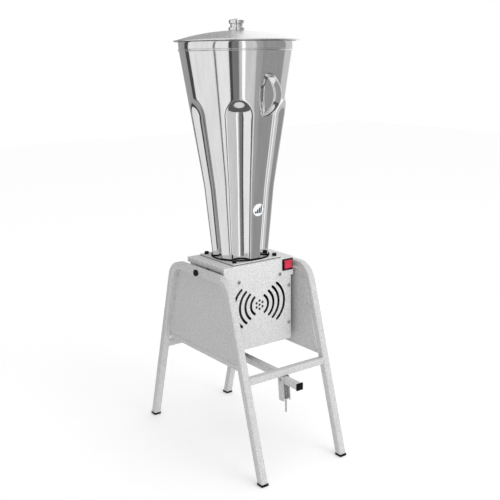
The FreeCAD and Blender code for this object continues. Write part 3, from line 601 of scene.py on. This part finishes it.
def cup_radius(angle, rise):
    """Outer radius with the six flutes pressed in, their edges rolled over softly."""
    wall = wall_radius(rise)
    reach, size = flute_centre(rise)
    if size < 1:
        return wall
    nearest = min(abs((angle - f + math.pi) % (2 * math.pi) - math.pi) for f in FLUTES)
    sideways = reach * math.sin(nearest)
    if abs(sideways) >= size:
        return wall
    dent = reach * math.cos(nearest) - math.sqrt(size ** 2 - sideways ** 2)
    blend = max(ROLL_OVER - abs(wall - dent), 0.0) / ROLL_OVER
    return min(wall, dent) - blend * blend * ROLL_OVER / 4


def cup_mesh():
    """Cup of one sheet: outside wall, inside wall, and a floor with the hub's hole."""
    around = 420
    rises = [0, 0.6, 1.4, 3]
    rises += [3 + 3.0 * k for k in range(1, 203)]
    rises = [r for r in rises if r < TOP_RISE - 1] + [TOP_RISE - 0.2]
    inner_rises = [CUP_SHEET] + rises[4:]
    verts, faces = [], []

    def ring(rise, radius_at):
        for k in range(around):
            angle = 2 * math.pi * k / around
            radius = radius_at(angle, rise)
            verts.append((radius * math.cos(angle) * MM, radius * math.sin(angle) * MM, (FLOOR_Z + rise) * MM))

    for rise in rises:
        # a faint ridge runs round the cup at its waist
        ring(rise, lambda angle, at: cup_radius(angle, at) + 0.35 * math.exp(-((at - WAIST) / 1.4) ** 2))
    start = len(verts)
    for rise in inner_rises:
        ring(rise, lambda angle, at: cup_radius(angle, at) - CUP_SHEET)
    hub = len(verts)
    for rise in (0, CUP_SHEET):
        ring(rise, lambda angle, at: HUB_HOLE)
    rows = len(rises)

    def strip(a, b):
        for k in range(around):
            n = (k + 1) % around
            faces.append((a + k, a + n, b + n, b + k))

    for i in range(rows - 1):
        strip(i * around, (i + 1) * around)
    for i in range(len(inner_rises) - 1):
        strip(start + (i + 1) * around, start + i * around)
    strip((rows - 1) * around, start + (len(inner_rises) - 1) * around)
    strip(start, hub + around)
    strip(hub + around, hub)
    strip(hub, 0)
    return mesh_object("cup_body", verts, faces, 50.0)


def with_cup(obj, turn=CUP_TURN):
    """Turn a finished mesh about the cup's axis, because the cup stands a few degrees round from the front."""
    obj.data.transform(Matrix.Rotation(turn, 4, "Z"))
    return obj


dress(with_cup(cup_mesh()), "head", "cup_steel", "cup")

rim_low, rim_high = FLOOR_Z + MOUTH_RISE, FLOOR_Z + TOP_RISE
rim_profile = [(161.6, rim_low + 0.4)] + arc((162.4, rim_low + 3.1), 3.1, -88, 62, 14)
rim_profile += [(164.0, rim_low + 6.6), (164.1, rim_low + 8.4), (164.8, rim_high - 3)]
rim_profile += arc((164.2, rim_high - 1.4), 1.4, 0, 180, 8)
rim_profile += [(162.9, rim_high - 3), (161.6, rim_low + 0.4)]
dress(lathe("cup_rim_band", rim_profile, 192), "head", "cup_steel", "cup_rim")

foot = arc((84.3, FLOOR_Z + 2.2), 2.2, 0, 360, 20)
foot[-1] = foot[0]
dress(lathe("foot_seal", foot, 144), "head", "black_rubber", "foot_ring")


def on_cup(x, z, lift):
    """Point in front of the cup's wall at x and z, lifted off it."""
    radius = wall_radius(z - FLOOR_Z) + lift
    return Vector((x, -math.sqrt(max(0.0, radius ** 2 - x ** 2)), z))


def label_patch(name, outline, thick, slot, material=None, lift=0.15, nodes=()):
    """Thin film with the given (x, z) outline rings, wrapped on the cup's front; rings run inner to outer."""
    verts, faces = [], []
    count = len(outline[0])
    for layer in (lift, lift + thick):
        for ring in outline:
            verts += [on_cup(x, z, layer) * MM for x, z in ring]
    rows = len(outline)
    for layer in (0, 1):
        base = layer * rows * count
        for i in range(rows - 1):
            for k in range(count):
                n = (k + 1) % count
                a, b = base + i * count, base + (i + 1) * count
                faces.append((a + k, a + n, b + n, b + k))
    for i in (0, rows - 1):
        for k in range(count):
            n = (k + 1) % count
            a, b = i * count, (rows + i) * count
            faces.append((a + k, a + n, b + n, b + k))
    return dress(with_cup(mesh_object(name, verts, faces), FRONT_TURN), "head", slot, *nodes, material=material)


LABEL_Z = 724.0


def circle(radius, count=72):
    return [(radius * math.cos(2 * math.pi * k / count), LABEL_Z + radius * math.sin(2 * math.pi * k / count))
            for k in range(count)]


label_patch("label_disc", [circle(r) for r in (0.05, 6, 12, 17, 19.8)], 0.2, "label_white",
            nodes=("capacity_label",))
label_patch("label_border", [circle(18.1), circle(19.4)], 0.15, "label_white", INK, 0.36)


def bar_outline(x, z, width, tall, inset):
    """Rounded bar outline shrunk towards its middle."""
    points = []
    for px, pz in rounded_square(1.0, 0.3, 3):
        points.append((x + px * width * inset, LABEL_Z + z + pz * tall * inset))
    return points


for index, tall in enumerate((7, 12, 17, 22)):
    x = -9.0 + 6.0 * index
    rings = [bar_outline(x, -9 + tall / 2 - 1, 4.8, tall, s) for s in (0.02, 0.6, 1.0)]
    label_patch(f"label_bar_{index}", rings, 0.15, "label_white", INK, 0.36)

# ------------------------------------------------------------------ handle
HANDLE = [(-144, 1104), (-161, 1095), (-177, 1080), (-187, 1062), (-189.5, 1045), (-183, 1026), (-167, 1009),
          (-148, 997), (-126, 989)]


def smooth_path(points, steps=10):
    """Catmull-Rom points through (y, z) corners."""
    padded = [points[0]] + points + [points[-1]]
    result = []
    for i in range(1, len(padded) - 2):
        p0, p1, p2, p3 = (Vector(p) for p in padded[i - 1:i + 3])
        for k in range(steps):
            t = k / steps
            result.append(0.5 * (2 * p1 + (p2 - p0) * t + (2 * p0 - 5 * p1 + 4 * p2 - p3) * t ** 2
                                 + (3 * p1 - p0 - 3 * p2 + p3) * t ** 3))
    result.append(Vector(points[-1]))
    return result


def handle_mesh():
    path = [p for p in smooth_path(HANDLE) if -p.x > wall_radius(p.y - FLOOR_Z) - 1.0]
    rings = []
    for i, point in enumerate(path):
        ahead = path[min(i + 1, len(path) - 1)] - path[max(i - 1, 0)]
        ahead.normalize()
        normal = Vector((0, -ahead.y, ahead.x))
        ends = min(i, len(path) - 1 - i)
        flare = 1 + 0.22 * math.exp(-(ends / 3.0) ** 2)
        ring = []
        for k in range(32):
            angle = 2 * math.pi * k / 32
            across = math.copysign(abs(math.cos(angle)) ** 0.75, math.cos(angle)) * 13 * flare
            thick = math.sin(angle) * 4.5
            ring.append(Vector((across, point.x, point.y)) + normal * thick)
        rings.append(ring)
    return loft("handle_bow", rings, 60.0)


dress(with_cup(handle_mesh(), FRONT_TURN), "head", "cup_steel", "handle")


def mount_plate(name, z, width, tall):
    """Rounded weld plate lying on the cup's front wall."""
    rings = []
    for inset in (0.05, 0.5, 0.85, 1.0):
        rings.append([(px * width * inset, z + pz * tall * inset) for px, pz in rounded_square(1.0, 0.25, 4)])
    return label_patch(name, rings, 1.4, "cup_steel", MATERIALS["cup_steel"], 0.05,
                       ("handle_mounts",) if "upper" in name else ())


mount_plate("handle_plate_upper", 1120, 23, 28)
mount_plate("handle_plate_lower", 979, 22, 20)

# ------------------------------------------------------------------ lid and knob
DOME, APEX = 590.0, 1218.5


def dome_height(radius):
    return APEX - DOME + math.sqrt(DOME ** 2 - radius ** 2)


lid_profile = [(0, dome_height(0))]
lid_profile += [(r, dome_height(r)) for r in (10, 25, 40, 60, 80, 100, 120, 135, 150, 160, 166, 170)]
lid_profile += [(172.5, 1191.6)]
lid_profile += arc((176.1, 1190.9), 1.9, 110, -110, 12)
lid_profile += [(172, 1189.2), (160, 1189.2), (159.2, 1188), (159.2, 1177), (158, 1177), (158, 1190.6)]
lid_profile += [(r, dome_height(r) - 1.2) for r in (150, 135, 120, 100, 80, 60, 40, 25, 10)]
lid_profile += [(0, dome_height(0) - 1.2)]
dress(lathe("lid_shell", lid_profile, 192), "lid", "lid_steel", "lid")

knob = [(0, 1218.6), (22.6, 1218.6)] + arc((22.0, 1220.2), 1.5, -60, 0, 4) + [(23.5, 1224.6)]
knob += arc((21.9, 1224.9), 1.6, 0, 80, 5)
knob += [(20.4, 1227.4), (19.0, 1229.4), (18.3, 1232.2), (18.4, 1234.6), (19.4, 1236.2)]
knob += arc((20.4, 1239.0), 2.1, -80, 0, 5) + [(22.5, 1244.6)]
knob += arc((20.3, 1244.9), 2.2, 0, 75, 6)
knob += [(17, 1248.0), (12, 1249.0), (6, 1249.7), (0, 1249.9)]
dress(lathe("knob_spool", knob, 96, 50.0), "lid", "knob_chrome", "lid_knob")

# ------------------------------------------------------------------ switch
AXIS_Y, AXIS_Z, SIDE = -93.0, 548.0, 102.5


def rocker_mesh():
    """Rocker with two shallow faces that meet in the middle, and rounded top and bottom edges."""
    outline = []
    for k in range(9):
        angle = math.radians(128 - 3 * k)
        outline.append((14.0 * math.cos(angle), 14.0 * math.sin(angle)))
    face = [(-8.9, 9.8), (-7.6, 5), (-6.9, 1.2), (-6.7, 0), (-6.9, -1.2), (-7.6, -5), (-8.9, -9.8)]
    outline += face
    outline += [(y, -z) for y, z in reversed(outline[:9])]
    outline += [(7.0, -10.5), (7.0, 10.5)]
    rings = []
    for x, shrink in ((-14.6, 0.93), (-14.2, 0.975), (-13.2, 1.0), (13.2, 1.0), (14.2, 0.975), (14.6, 0.93)):
        rings.append([Vector((SIDE + x, AXIS_Y + y * (shrink if y < 0 else 1), AXIS_Z + z * shrink))
                      for y, z in outline])
    return loft("rocker_cap", rings, 35.0)


dress(rocker_mesh(), "switch", "red_plastic", "switch_rocker")

# ------------------------------------------------------------------ CAD pieces that stay
SOFT_EDGE = {"top_pan": 0.5, "front_cover": 0.4, "cup_base_plate": 0.8, "left_side_panel": 0.5,
             "right_side_panel": 0.5, "foot_caps": 0.8, "switch_bezel": 0.7, "pedal_bracket": 0.4,
             "pivot_bolts": 1.2, "plate_bolts": 1.2, "cover_screws": 0.9, "pedal_rod": 0.3, "pedal_pin": 0.4}


def soften(obj, width):
    """Round the sharp edges a little, keeping the flat faces flat."""
    weld = obj.modifiers.new("weld", "WELD")
    weld.merge_threshold = 1e-5
    flat = obj.modifiers.new("flat", "DECIMATE")
    flat.decimate_type = "DISSOLVE"
    flat.angle_limit = math.radians(0.5)
    edge = obj.modifiers.new("edge", "BEVEL")
    edge.width = width * MM
    edge.segments = 3
    edge.limit_method = "ANGLE"
    edge.angle_limit = math.radians(42)
    even = obj.modifiers.new("even", "WEIGHTED_NORMAL")
    even.keep_sharp = True


PANEL_REACH = 2.4


def side_panel(name, node):
    """Side panel that reaches closer to the tube than its solid does."""
    obj = bpy.data.objects.new(name, frame["nodes"][node].data.copy())
    bpy.context.scene.collection.objects.link(obj)
    low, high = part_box(node)
    middle = (low[2] + high[2]) / 2
    for vertex in obj.data.vertices:
        vertex.co.y += math.copysign(PANEL_REACH * MM, vertex.co.y)
        if vertex.co.z > middle:
            vertex.co.z += PANEL_REACH * MM
    obj.data.materials.clear()
    soften(obj, SOFT_EDGE[node])
    return dress(obj, "stand", "frame_paint", node)


side_panel("panel_left", "left_side_panel")
side_panel("panel_right", "right_side_panel")

for name, obj in frame["nodes"].items():
    obj.data.materials.clear()
    # the front cover and the shell take the housing paint with painted shade inside
    obj.data.materials.append(HOUSING_INSIDE_SHADE if name in ("front_cover", "housing_shell") else MATERIALS[SLOT_OF[name]])
    if name in SOFT_EDGE:
        soften(obj, SOFT_EDGE[name])
